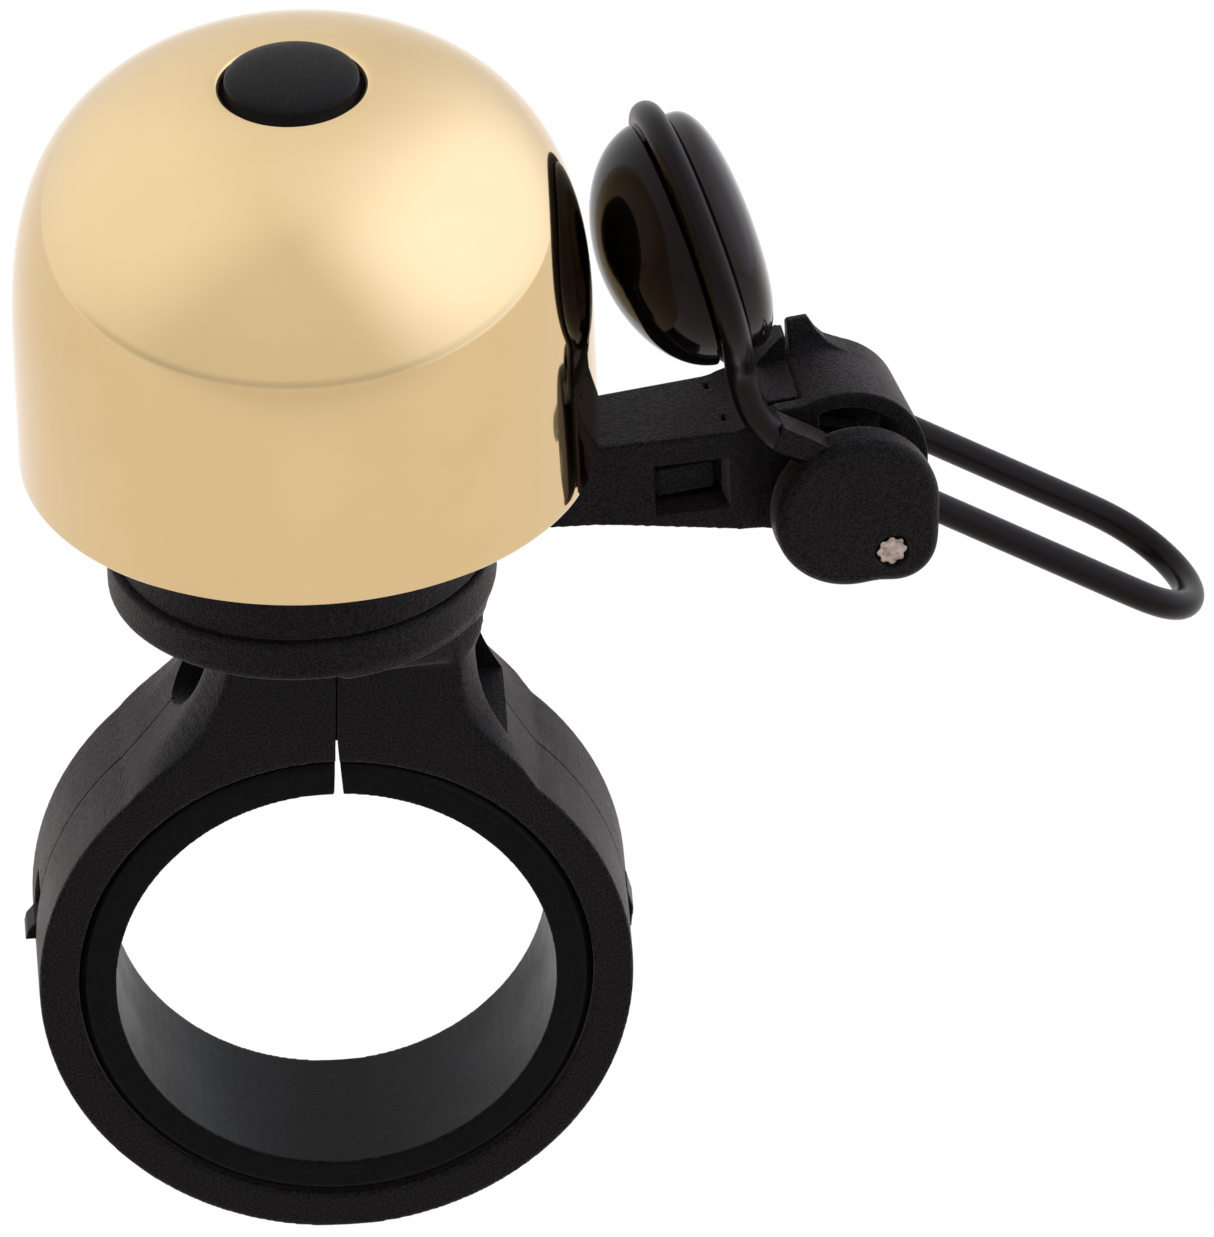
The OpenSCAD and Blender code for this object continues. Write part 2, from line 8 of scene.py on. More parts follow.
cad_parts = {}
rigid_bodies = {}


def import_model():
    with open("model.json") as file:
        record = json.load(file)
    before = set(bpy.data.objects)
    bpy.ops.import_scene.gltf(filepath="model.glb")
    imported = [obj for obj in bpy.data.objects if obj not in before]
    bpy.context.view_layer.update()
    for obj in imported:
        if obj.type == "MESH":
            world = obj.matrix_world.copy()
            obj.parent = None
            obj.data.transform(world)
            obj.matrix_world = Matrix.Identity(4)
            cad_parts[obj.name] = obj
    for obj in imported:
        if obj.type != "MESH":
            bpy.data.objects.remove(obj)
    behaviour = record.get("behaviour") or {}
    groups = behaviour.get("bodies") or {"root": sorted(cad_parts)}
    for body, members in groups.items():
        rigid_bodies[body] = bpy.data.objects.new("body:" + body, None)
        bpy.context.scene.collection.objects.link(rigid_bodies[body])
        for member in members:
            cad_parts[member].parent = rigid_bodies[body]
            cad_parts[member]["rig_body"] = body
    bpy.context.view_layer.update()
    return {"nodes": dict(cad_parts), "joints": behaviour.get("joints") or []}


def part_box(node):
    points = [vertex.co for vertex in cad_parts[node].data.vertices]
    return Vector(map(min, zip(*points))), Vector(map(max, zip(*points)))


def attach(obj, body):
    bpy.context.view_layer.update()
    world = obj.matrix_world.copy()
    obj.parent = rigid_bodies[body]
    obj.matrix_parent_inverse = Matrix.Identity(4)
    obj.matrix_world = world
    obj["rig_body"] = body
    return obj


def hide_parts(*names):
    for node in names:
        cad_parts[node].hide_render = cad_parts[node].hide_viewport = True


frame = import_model()

MM = 0.001
NODES = frame["nodes"]
JOINTS = {j["name"]: j for j in frame["joints"]}

# ---- places that come from the frame, in millimetres ----
PIN = Vector(JOINTS["lever_pivot"]["pos_m"]) / MM
PIVOT_AXIS = Vector(JOINTS["lever_pivot"]["axis"])
ARM_YAW = math.atan2(-PIVOT_AXIS.x, PIVOT_AXIS.y)
TO_ARM = Matrix.Rotation(ARM_YAW, 4, "Z")  # from the arm's own frame to the object's


def span(node):
    """The lowest and the highest corner of a CAD node."""
    low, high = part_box(node)
    return low / MM, high / MM


BELL_LOW, BELL_HIGH = span("bell_dome")
BELL_R = (BELL_HIGH.x - BELL_LOW.x) / 2
BELL_RIM = BELL_LOW.z
RECESS_DROP = 0.12  # how far the recess for the cap cuts the crown down
CROWN_TOP = BELL_HIGH.z + RECESS_DROP


# ---- mesh helpers: shapes are drawn in millimetres and end up in metres ----

TOUCHING = 1e-6  # points nearer than this are one point
WELD = 0.001  # the same for points that a CAD mesh repeats


def ease(value, low, high):
    """A smooth step from 0 at low to 1 at high."""
    t = min(max((value - low) / (high - low), 0), 1)
    return t * t * (3 - 2 * t)


def piece_from(name, vertices, faces, body, node):
    """A new smooth piece that rides on a body and stands for a CAD node."""
    mesh = bpy.data.meshes.new(name)
    mesh.from_pydata([tuple(Vector(v) * MM) for v in vertices], [], faces)
    mesh.validate()
    mesh.polygons.foreach_set("use_smooth", [True] * len(mesh.polygons))
    piece = bpy.data.objects.new(name, mesh)
    bpy.context.scene.collection.objects.link(piece)
    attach(piece, body)
    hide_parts(node)
    return piece


def lathe(profile, steps):
    """Vertices and faces of a closed profile of (radius, height) turned about Z."""
    vertices, faces, rings = [], [], []
    for r, z in profile:
        if r < TOUCHING:  # on the axis, one point stands for the whole ring
            rings.append([len(vertices)] * steps)
            vertices.append((0, 0, z))
            continue
        rings.append([len(vertices) + i for i in range(steps)])
        for i in range(steps):
            a = 2 * math.pi * i / steps
            vertices.append((r * math.cos(a), r * math.sin(a), z))
    for k in range(len(rings)):
        lower, upper = rings[k], rings[(k + 1) % len(rings)]
        for i in range(steps):
            j = (i + 1) % steps
            corners = [lower[i], lower[j], upper[j], upper[i]]
            face = [c for n, c in enumerate(corners) if c not in corners[:n]]
            if len(face) > 2:
                faces.append(face)
    return vertices, faces


def arc(cx, cy, r, start, end, steps):
    """Points on a circle, angles in degrees."""
    return [
        (
            cx + r * math.cos(math.radians(start + (end - start) * i / steps)),
            cy + r * math.sin(math.radians(start + (end - start) * i / steps)),
        )
        for i in range(steps + 1)
    ]


def super_arc(r, h, power, start, end, steps):
    """Points of a superellipse from its widest ring (0 degrees) towards its crown (90)."""
    points = []
    for i in range(steps + 1):
        a = math.radians(start + (end - start) * i / steps)
        points.append((r * max(math.cos(a), 0) ** (2 / power), h * math.sin(a) ** (2 / power)))
    return points


def add_modifier(piece, kind, **settings):
    made = piece.modifiers.new(kind.lower(), kind)
    for key, value in settings.items():
        setattr(made, key, value)


def apply_modifiers(piece):
    """Makes what the modifiers show the piece's own mesh."""
    bpy.context.view_layer.update()
    graph = bpy.context.evaluated_depsgraph_get()
    final = bpy.data.meshes.new_from_object(piece.evaluated_get(graph))
    piece.modifiers.clear()
    piece.data = final


def add_solid(bm, vertices, faces):
    """Puts a closed solid into an open bmesh."""
    made = [bm.verts.new(v) for v in vertices]
    for face in faces:
        bm.faces.new([made[i] for i in face])
    bmesh.ops.recalc_face_normals(bm, faces=bm.faces)


def shade(piece, sharp=38):
    """Smooth shading, with the edges that turn by more than this many degrees left sharp."""
    piece.data.polygons.foreach_set("use_smooth", [True] * len(piece.data.polygons))
    piece.data.set_sharp_from_angle(angle=math.radians(sharp))


def filled_copy(node, turn, fills):
    """A new object with a CAD node's mesh in millimetres in the turned frame, and with the fills added."""
    mesh = NODES[node].data.copy()
    mesh.transform(turn.inverted() @ Matrix.Scale(1 / MM, 4))
    bm = bmesh.new()
    bm.from_mesh(mesh)
    bmesh.ops.remove_doubles(bm, verts=bm.verts, dist=WELD)
    for solid in fills:
        add_solid(bm, *solid)
    bm.to_mesh(mesh)
    bm.free()
    piece = bpy.data.objects.new(node + "_moulded", mesh)
    bpy.context.scene.collection.objects.link(piece)
    return piece


def keep_joint_sharp(piece, joint):
    """Marks how soft each point may get, and runs the face at the joint a little way into the neighbour."""
    sharp_within, soft_beyond, at_face = 0.04, 0.22, 0.9
    soft = piece.vertex_groups.new(name="soft")
    for v in piece.data.vertices:
        near = 0 if joint is None else 1 - ease(abs(v.co.x - joint), sharp_within, soft_beyond)
        soft.add([v.index], 1 - near, "REPLACE")
        if near > at_face:
            v.co.x += JOINT_LAP if v.co.x < joint else -JOINT_LAP


def moulded(node, voxel, smoothing, keep, frame_turn=None, fills=(), joint=None):
    """A copy of a CAD node with its edges rounded as a moulding's are: remeshed, smoothed and thinned.

    keep is the share of the faces that are left at the end. fills are solids that close openings first,
    to be carved crisply later. joint is an X where this moulding meets its neighbour.
    """
    turn = frame_turn or Matrix.Identity(4)
    piece = filled_copy(node, turn, fills)
    add_modifier(piece, "REMESH", mode="VOXEL", voxel_size=voxel)
    apply_modifiers(piece)
    keep_joint_sharp(piece, joint)
    add_modifier(piece, "SMOOTH", factor=0.5, iterations=smoothing, vertex_group="soft")
    add_modifier(piece, "DECIMATE", ratio=keep)
    apply_modifiers(piece)
    piece.vertex_groups.clear()
    piece.data.transform(turn @ Matrix.Scale(MM, 4))
    shade(piece)
    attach(piece, NODES[node]["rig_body"])
    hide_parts(node)
    return piece


def cutter_from(vertices, faces):
    """A throwaway solid, in millimetres in the object's frame, that cuts another piece."""
    mesh = bpy.data.meshes.new("cutter")
    mesh.from_pydata([tuple(Vector(v) * MM) for v in vertices], [], faces)
    bm = bmesh.new()
    bm.from_mesh(mesh)
    bmesh.ops.recalc_face_normals(bm, faces=bm.faces)
    bm.to_mesh(mesh)
    bm.free()
    cutter = bpy.data.objects.new("cutter", mesh)
    bpy.context.scene.collection.objects.link(cutter)
    return cutter


def carve(piece, cutters):
    """Takes the cutters out of a piece and removes them."""
    for cutter in cutters:
        add_modifier(piece, "BOOLEAN", operation="DIFFERENCE", solver="MANIFOLD", object=cutter)
    apply_modifiers(piece)
    shade(piece)
    for cutter in cutters:
        bpy.data.objects.remove(cutter)


def extruded(outline, y0, y1):
    """Vertices and faces of an outline in X and Z, extruded between two values of Y."""
    count = len(outline)
    vertices = [(x, y0, z) for x, z in outline] + [(x, y1, z) for x, z in outline]
    faces = [[i, (i + 1) % count, count + (i + 1) % count, count + i] for i in range(count)]
    return vertices, faces + [list(range(count))[::-1], list(range(count, 2 * count))]


def along_x(outline, x0, x1):
    """Vertices and faces of an outline in Y and Z, extruded between two values of X."""
    vertices, faces = extruded(outline, x0, x1)
    return [(y, x, z) for x, y, z in vertices], faces


def bezier(points, steps):
    """Points of a Bezier curve with four control points."""
    a, b, c, d = (Vector(p) for p in points)
    out = []
    for i in range(steps + 1):
        t = i / steps
        u = 1 - t
        out.append(tuple(a * u ** 3 + b * 3 * u * u * t + c * 3 * u * t * t + d * t ** 3))
    return out


def cushion(outline, layers):
    """Vertices and faces of an outline in X and Z, stacked at each layer's Y and drawn in by its inset."""
    count = len(outline)
    vertices, faces = [], []
    for y, inset in layers:
        for i in range(count):
            run = (outline[(i + 1) % count] - outline[i - 1]).normalized()
            x, z = outline[i] + Vector((-run.y, run.x)) * inset
            vertices.append((x, y, z))
    for k in range(len(layers) - 1):
        for i in range(count):
            j = (i + 1) % count
            faces.append([k * count + i, k * count + j, (k + 1) * count + j, (k + 1) * count + i])
    top = (len(layers) - 1) * count
    return vertices, faces + [list(range(count))[::-1], list(range(top, top + count))]


def line_along(outline, depth, width):
    """A thin ribbon that scores a line this deep into a surface whose outline in X and Z is given."""
    reach_out = 0.6
    inner, outer = [], []
    for i, (x, z) in enumerate(outline):
        ahead = outline[min(i + 1, len(outline) - 1)]
        behind = outline[max(i - 1, 0)]
        run = Vector((ahead[0] - behind[0], ahead[1] - behind[1])).normalized()
        out = Vector((run.y, -run.x))
        if out.dot(Vector((x, z))) < 0:
            out = -out
        inner.append((x - out.x * depth, z - out.y * depth))
        outer.append((x + out.x * reach_out, z + out.y * reach_out))
    return extruded(inner + outer[::-1], -width / 2, width / 2)


def tube(path, r, sides):
    """Vertices and faces of a round tube along a closed path of points."""
    count = len(path)
    vertices, faces = [], []
    normal = (path[1] - path[-1]).normalized().cross(Vector((0, 0, 1)))
    for i, p in enumerate(path):
        tangent = (path[(i + 1) % count] - path[i - 1]).normalized()
        normal = (normal - tangent * normal.dot(tangent)).normalized()
        side = tangent.cross(normal)
        for k in range(sides):
            a = 2 * math.pi * k / sides
            vertices.append(p + (normal * math.cos(a) + side * math.sin(a)) * r)
    # the last ring has turned against the first, so it is joined from the corner that lines up best
    last, step = vertices[-sides:], path[0] - path[-1]
    lined_up = min(range(sides), key=lambda k: (last[k] + step - vertices[0]).length)
    for i in range(count):
        here, after = i * sides, (i + 1) % count * sides
        turn = lined_up if after == 0 else 0
        for k in range(sides):
            k2 = (k + 1) % sides
            faces.append([here + (k + turn) % sides, here + (k2 + turn) % sides, after + k2, after + k])
    return vertices, faces


def even_steps(points, step):
    """The closed line through the points, cut into even steps."""
    line = points + [points[0]]
    out, left = [], 0.0
    for a, b in zip(line, line[1:]):
        length = (b - a).length
        if length < TOUCHING:
            continue
        t = left
        while t < length:
            out.append(a.lerp(b, t / length))
            t += step
        left = t - length
    return out


def relaxed(points, rounds):
    """A closed line with its corners eased, each point moving towards its neighbours' middle."""
    for _ in range(rounds):
        points = [
            p * 0.5 + (points[i - 1] + points[(i + 1) % len(points)]) * 0.25
            for i, p in enumerate(points)
        ]
    return points


# ---- material helpers ----

def add_node(tree, kind, inputs=None, **settings):
    """A new node with these settings, and with each input linked to a socket or set to a value."""
    made = tree.nodes.new(kind)
    for key, value in settings.items():
        setattr(made, key, value)
    for key, value in (inputs or {}).items():
        if isinstance(value, bpy.types.NodeSocket):
            tree.links.new(value, made.inputs[key])
        else:
            made.inputs[key].default_value = value
    return made


class Nodes:
    """Short calls for building a material's node tree."""

    def __init__(self, name):
        self.material = bpy.data.materials.new(name)
        self.material.use_nodes = True
        self.tree = self.material.node_tree
        self.shader = self.tree.nodes["Principled BSDF"]
        self.place = self.add("ShaderNodeTexCoord").outputs["Object"]

    def add(self, kind, inputs=None, **settings):
        return add_node(self.tree, kind, inputs, **settings)

    def set(self, **values):
        """Sets or links inputs of the shader, named with underscores for spaces."""
        for key, value in values.items():
            socket = self.shader.inputs[key.replace("_", " ")]
            if isinstance(value, bpy.types.NodeSocket):
                self.tree.links.new(value, socket)
            else:
                socket.default_value = value

    def noise(self, scale, detail=2.0, rough=0.5, place=None):
        return self.add(
            "ShaderNodeTexNoise",
            {"Vector": place or self.place, "Scale": scale, "Detail": detail, "Roughness": rough},
        ).outputs["Fac"]

    def ramp(self, value, low, high, to_low, to_high):
        return self.add(
            "ShaderNodeMapRange",
            {"Value": value, "From Min": low, "From Max": high, "To Min": to_low, "To Max": to_high},
        ).outputs["Result"]

    def mix(self, value, a, b):
        mixed = self.add("ShaderNodeMix", {"Factor": value, "A": a, "B": b}, data_type="RGBA")
        return mixed.outputs["Result"]

    def bump(self, height, strength, distance, under=None):
        inputs = {"Height": height, "Strength": strength, "Distance": distance}
        if under is not None:
            inputs["Normal"] = under
        return self.add("ShaderNodeBump", inputs).outputs["Normal"]


WARM_SHEEN = (1, 0.8, 0.8, 1)
MIDDLE = (0.3, 0.7)  # where most of a soft noise's values lie
NARROW = (0.38, 0.62)  # the same for a fine grain


def textured_plastic(name, dark, light, rough, spark, depth, specular, sheen, contrast):
    """Moulded plastic with a fine spark-eroded texture, whose peaks shine more than its hollows."""
    m = Nodes(name)
    grain = m.noise(spark, 3.0, 0.6)
    cloud = m.noise(300, 3.0)
    hollow, peak = 1 - contrast, 1 + contrast
    m.set(Base_Color=m.mix(m.ramp(grain, *NARROW, 0, 1), dark, light))
    m.set(Roughness=m.ramp(cloud, *MIDDLE, rough - 0.05, rough + 0.06))
    m.set(Normal=m.bump(grain, 1.0, depth))
    m.set(Specular_IOR_Level=m.ramp(grain, *NARROW, specular * hollow, specular * peak))
    m.set(Sheen_Weight=m.ramp(grain, *NARROW, sheen * hollow, sheen * peak))
    m.set(Sheen_Roughness=0.4, Sheen_Tint=WARM_SHEEN)
    return m.material


def polished_brass():
    """Brass with a faint haze and the slight waves that spinning leaves."""
    m = Nodes("polished_brass")
    haze = m.noise(120, 4.0, 0.6)
    wave = m.noise(45, 2.0)
    fine = m.noise(5200, 2.0)
    deep, pale = (0.67, 0.49, 0.255, 1), (0.7, 0.515, 0.275, 1)
    m.set(Base_Color=m.mix(m.ramp(haze, *MIDDLE, 0, 1), deep, pale))
    m.set(Metallic=1.0)
    m.set(Roughness=m.ramp(haze, *MIDDLE, 0.04, 0.065))
    ripple = m.bump(wave, 0.25, 0.0001)
    m.set(Normal=m.bump(fine, 0.05, 0.000004, ripple))
    return m.material


def gloss_plastic(name, color, rough, specular):
    """Smooth black plastic or coating with uneven gloss."""
    m = Nodes(name)
    cloud = m.noise(400, 3.0)
    fine = m.noise(2600, 2.0)
    m.set(Base_Color=color)
    m.set(Roughness=m.ramp(cloud, *MIDDLE, rough, rough + 0.06))
    m.set(Normal=m.bump(fine, 0.12, 0.00001))
    m.set(Specular_IOR_Level=specular, Specular_Tint=WARM_SHEEN)
    return m.material


def steel(name, color, rough, stretch=12, worn=0.75):
    """Metal with fine lines along Z, or with small pits when they aren't stretched."""
    m = Nodes(name)
    scratch = m.add("ShaderNodeMapping", {"Vector": m.place, "Scale": (1, 1, stretch)})
    lines = m.noise(2500, 4.0, 0.6, scratch.outputs["Vector"])
    dull = tuple(c * worn for c in color) + (1,)
    m.set(Base_Color=m.mix(m.ramp(lines, 0.35, 0.65, 0, 1), dull, color + (1,)))
    m.set(Metallic=1.0)
    m.set(Roughness=m.ramp(lines, *MIDDLE, rough, rough + 0.2))
    m.set(Normal=m.bump(lines, 0.3, 0.00002))
    return m.material


def floor_paint_and_shade():
    """Pale paint, with painted shade that darkens it a little towards the table's front edge, where less
    light reaches.
    """
    m = Nodes("floor_paint_and_shade")
    cloud = m.noise(3, 2.0)
    ahead = m.add("ShaderNodeSeparateXYZ", {"Vector": m.place}).outputs["Y"]
    # painted shade: darker towards the front edge, for the light falling off there, which the brass
    # reflects as a darker band
    darker = m.ramp(ahead, -0.26, -0.5, 0, 0.9)
    uneven = m.ramp(cloud, 0, 1, 0, 0.1)
    # the painted shade plus a faint uneven tone of the paint
    shade_and_tone = m.add("ShaderNodeMath", {0: darker, 1: uneven}).outputs["Value"]
    m.set(Base_Color=m.mix(shade_and_tone, (0.83, 0.78, 0.715, 1), (0.7, 0.655, 0.585, 1)))
    m.set(Roughness=0.8, Specular_IOR_Level=0.1)
    return m.material


BLACK = (0.002, 0.0016, 0.0016, 1)

BRASS = polished_brass()
MOULDED = textured_plastic(
    "textured_black", dark=(0.001, 0.0008, 0.0008, 1), light=(0.004, 0.0032, 0.0032, 1),
    rough=0.46, spark=8000, depth=0.00005, specular=0.07, sheen=0.14, contrast=0.4,
)
LINER = textured_plastic(
    "liner_black", dark=(0.0012, 0.001, 0.001, 1), light=BLACK,
    rough=0.34, spark=5000, depth=0.000006, specular=0.06, sheen=0.01, contrast=0.12,
)
CAP = textured_plastic(
    "cap_black", dark=(0.003, 0.0024, 0.0024, 1), light=(0.004, 0.0032, 0.0032, 1),
    rough=0.35, spark=8000, depth=0.000008, specular=0.085, sheen=0.01, contrast=0.2,
)
RUBBER = textured_plastic(
    "soft_black", dark=(0.02, 0.02, 0.02, 1), light=(0.03, 0.03, 0.03, 1),
    rough=0.8, spark=3000, depth=0.00001, specular=0.2, sheen=0, contrast=0.2,
)
COATING = gloss_plastic("wire_coating", BLACK, rough=0.26, specular=0.13)
GLOSS = gloss_plastic("gloss_black", BLACK, rough=0.05, specular=0.14)
GLOSS_BACK = gloss_plastic("gloss_black_back", (0.003, 0.0024, 0.0024, 1), rough=0.08, specular=0.31)
STEEL = steel("steel", (0.09, 0.088, 0.085), rough=0.3)
PIN_STEEL = steel("pin_steel", (0.48, 0.39, 0.34), rough=0.3, stretch=1, worn=0.4)
SPRING_STEEL = steel("spring_steel", (0.42, 0.42, 0.42), rough=0.25)
ALUMINIUM = steel("turned_aluminium", (0.68, 0.68, 0.69), rough=0.3)


def paint(piece, material):
    """Gives a new piece its one material."""
    piece.data.materials.clear()
    piece.data.materials.append(material)


def paint_node(node, material):
    """Gives a carried-over CAD node a better material."""
    piece = NODES[node]
    if not piece.material_slots:
        piece.data.materials.append(material)
    for slot in piece.material_slots:
        slot.material = material


# ---- the bell ----

WALL = 1.1
STRAIGHT = 6.2  # height of the bell's straight side
POWER = 2.88  # of the superellipse that the dome follows
DOME_H = CROWN_TOP - BELL_RIM - STRAIGHT
RECESS_R = 3.66
RECESS_FLOOR = CROWN_TOP - 1.15
LIP = 0.28


def bell_outside():
    """The bell's profile from the rim's inner edge up to the lip of the recess."""
    edge = 0.35
    points = [(BELL_R - WALL + edge, BELL_RIM)]
    points += arc(BELL_R - edge, BELL_RIM + edge, edge, -90, 0, 6)
    points += [(BELL_R, BELL_RIM + STRAIGHT * k / 6) for k in range(1, 6)]
    dome = super_arc(BELL_R, DOME_H, POWER, 0, 84, 72)
    return points + [(r, BELL_RIM + STRAIGHT + z) for r, z in dome if r > RECESS_R + LIP]


def bell_recess(top):
    """The rounded lip at this height, the recess for the cap, and the screw's hole through its floor."""
    corner, hole_r, floor_t, pan_over = 0.2, 1.65, 0.85, 0.6
    points = arc(RECESS_R + LIP, top - LIP, LIP, 90, 180, 5)
    points += [(RECESS_R, RECESS_FLOOR + corner)]
    points += arc(RECESS_R - corner, RECESS_FLOOR + corner, corner, 0, -90, 4)
    under = RECESS_FLOOR - floor_t
    return points + [(hole_r, RECESS_FLOOR), (hole_r, under), (RECESS_R + pan_over, under)]


def bell_inside():
    """The inner side, from under the recess down to the rim."""
    clear_of_recess, rim_corner = 0.9, 0.2
    dome = super_arc(BELL_R - WALL, DOME_H - WALL, POWER, 0, 84, 48)
    points = [(r, BELL_RIM + STRAIGHT + z) for r, z in dome if r > RECESS_R + clear_of_recess][::-1]
    points += [(BELL_R - WALL, BELL_RIM + STRAIGHT * k / 6) for k in range(5, 0, -1)]
    return points + [(BELL_R - WALL, BELL_RIM + rim_corner)]


def make_bell():
    outside = bell_outside()
    top = outside[-1][1]
    vertices, faces = lathe(outside + bell_recess(top) + bell_inside(), 256)
    bell = piece_from("bell_shell", vertices, faces, "clamp", "bell_dome")
    paint(bell, BRASS)


def make_cap():
    """The domed cap, on a black flange in the recess whose top fills the gap round the cap as a dark sheet
    standing for shade.
    """
    low, high = span("crown_cap")
    r = (high.x - low.x) / 2
    rise = 0.55
    edge_z = high.z - rise
    socket_r, socket_z = 2.6, low.z + 1.05
    # painted shade: the flange's black top stands for the shade in the gap between the cap and the recess
    # wall
    shade_flange_r, shade_flange_z, shade_flange_slope = 3.62, CROWN_TOP - 0.5, 0.06
    profile = [(0, socket_z), (socket_r, socket_z), (socket_r, low.z), (shade_flange_r, low.z)]
    profile += [(shade_flange_r, shade_flange_z), (r, shade_flange_z + shade_flange_slope), (r, edge_z - 0.1)]
    profile += [(x, edge_z + z) for x, z in super_arc(r, rise, 2.1, 6, 90, 24)]
    vertices, faces = lathe(profile, 128)
    cap = piece_from("crown_button", vertices, faces, "clamp", "crown_cap")
    paint(cap, CAP)


# ---- the striker ----

STRIKER = Vector((20.23, 0, 37.1))  # the middle of the wire's ring, in the arm's frame
LEAN = math.radians(12)
TO_STRIKER = TO_ARM @ Matrix.Translation(STRIKER) @ Matrix.Rotation(math.pi / 2 - LEAN, 4, "Y")
WIRE_RING_R = 6.63
WIRE_R = 0.76


def striker_half(name, profile, node, material):
    """One half of the striker, turned from its profile."""
    vertices, faces = lathe(profile, 160)
    vertices = [TO_STRIKER @ Vector(v) for v in vertices]
    half = piece_from(name, vertices, faces, "lever", node)
    paint(half, material)


def make_striker_front():
    """The half that strikes: a deep dome towards the bell, on a hub inside the wire's ring."""
    r, depth, power, skirt, rim, edge = 6.45, 4.36, 1.95, 0.5, 0.88, 0.1
    hub_r, hub_wall, hub_z, floor_z = 5.4, 0.7, 0.3, 1.4
    dome = [(x, skirt + z) for x, z in super_arc(r, depth, power, 0, 90, 48)]
    dome = [(x, z) for x, z in dome if z > rim + edge + 0.02]
    profile = [(hub_r - hub_wall, hub_z), (hub_r, hub_z), (hub_r, rim)]
    profile += arc(dome[0][0] - edge, rim + edge, edge, -90, 0, 3)
    profile += dome
    profile += [(x, floor_z) for x in (0, 3, hub_r - hub_wall)]
    striker_half("striker_front_half", [(x, -z) for x, z in profile], "striker_front", GLOSS)


def make_striker_back():
    """The flatter half, with the groove that the wire's ring lies in."""
    r, depth, power, skirt, face_z = 6.3, 1.95, 2.5, 1.1, 0.05
    groove = arc(WIRE_RING_R, 0, WIRE_R + 0.02, 176, 115, 8)
    profile = [(0, face_z)] + groove
    profile += [(x, skirt + z) for x, z in super_arc(r, depth, power, 0, 90, 40)]
    striker_half("striker_back_half", profile, "striker_back", GLOSS_BACK)


def thumb_loop(tip, along, half):
    """The half turn at the loop's end, from the near leg to the far one."""
    centre = Vector((tip.x, 0, tip.z))
    steps = 32
    turn = []
    for k in range(1, steps):
        a = -math.pi / 2 + math.pi * k / steps
        turn.append(centre + along * half * math.cos(a) + Vector((0, half * math.sin(a), 0)))
    return turn


def striker_ring(half):
    """The ring round the striker in the arm's frame, open at the bottom between the two legs."""
    gap = math.asin(half / WIRE_RING_R)
    in_arm = TO_ARM.inverted() @ TO_STRIKER
    steps = 90
    angles = [gap + (2 * math.pi - 2 * gap) * k / steps for k in range(1, steps)]
    ring = [Vector((math.cos(a), math.sin(a), 0)) * WIRE_RING_R for a in [-gap] + angles]
    return [in_arm @ p for p in ring]


def make_wire():
    """One bent wire: a thumb loop, two legs that bend up at the cheeks, and the ring round the striker."""
    half = 4.18  # from the middle to each leg
    slope = math.radians(36)
    leg = 23.75
    bend, knee = Vector((22.75, -half, 27.5)), Vector((21.9, -half, 28.9))
    along = Vector((math.cos(slope), 0, -math.sin(slope)))
    step, easing, sides = 0.16, 60, 24
    ring = striker_ring(half)
    near = [ring[0], knee, bend, bend + along * leg]
    far = [Vector((p.x, -p.y, p.z)) for p in near[::-1]]
    line = even_steps(near + thumb_loop(near[-1], along, half) + far + ring[1:], step)
    vertices, faces = tube([TO_ARM @ p for p in relaxed(line, easing)], WIRE_R, sides)
    wire = piece_from("bent_wire", vertices, faces, "lever", "lever_wire")
    paint(wire, COATING)


# ---- the moulded plastic ----

RING_R = 15
JOINT_LAP = 0.12  # how far the arm and the head run into each other
ARM_JOINT = 21.3  # where they meet
DISC_Z = 21.2
SEAM_FOOT = 14  # where the clamp's slot ends and the fine seam begins
# the sides of the neck, from under the disc down to the ring
NECK_LEFT = [(-5.3, DISC_Z)] + bezier([(-5.3, 20.6), (-5.3, 16.9), (-7.4, 14.3), (-10.2, 11)], 24)
NECK_RIGHT = [(7.9, DISC_Z)] + bezier([(7.9, 19), (7.9, 16.4), (8, 15), (10.7, 10.5)], 24)


def round_neck(piece):
    """Draws the neck's front and back edges in, as the clamp's broad soft corners are."""
    middle, half_w, flat, draw = 0.45, 4.75, 2.2, 0.13
    foot, waist, shoulder, top = 11.5, 15.5, 20.3, 21.1
    for v in piece.data.vertices:
        x, y, z = (c / MM for c in v.co)
        t = max(abs(y) - flat, 0) / (half_w - flat)
        height = ease(z, foot, waist) * (1 - ease(z, shoulder, top))
        k = 1 - draw * t * t * height
        v.co.x = (middle + (x - middle) * k) * MM


def pocket_shapes():
    """The nut's round-bottomed pocket and the screw head's square one, to cut out of the neck."""
    nut_half, nut_z, head_half, head_floor, inner, top = 2.25, 16.6, 3.1, 13.1, 3, DISC_Z - 0.1
    round_end = arc(0, nut_z, nut_half, 180, 360, 32)
    nut = along_x([(-nut_half, top)] + round_end + [(nut_half, top)], -RING_R, -inner)
    square = [(-head_half, top), (-head_half, head_floor), (head_half, head_floor), (head_half, top)]
    return nut, along_x(square, inner, RING_R)


def seam_shapes():
    """The wedge of the clamp's slot, and the fine seam scored above it on the front and back faces."""
    through, face_in, face_out = 12, 4.2, 6
    slot = [(0.4, 10.9), (0.51, SEAM_FOOT), (0.63, SEAM_FOOT), (0.76, 10.9)]
    foot = SEAM_FOOT - 0.1
    seam = [(0.51, foot), (0.66, 17.4), (0.66, 21.1), (0.78, 21.1), (0.78, 17.4), (0.63, foot)]
    scored = [extruded(seam, -face_out, -face_in), extruded(seam, face_in, face_out)]
    return [extruded(slot, -through, through)] + scored


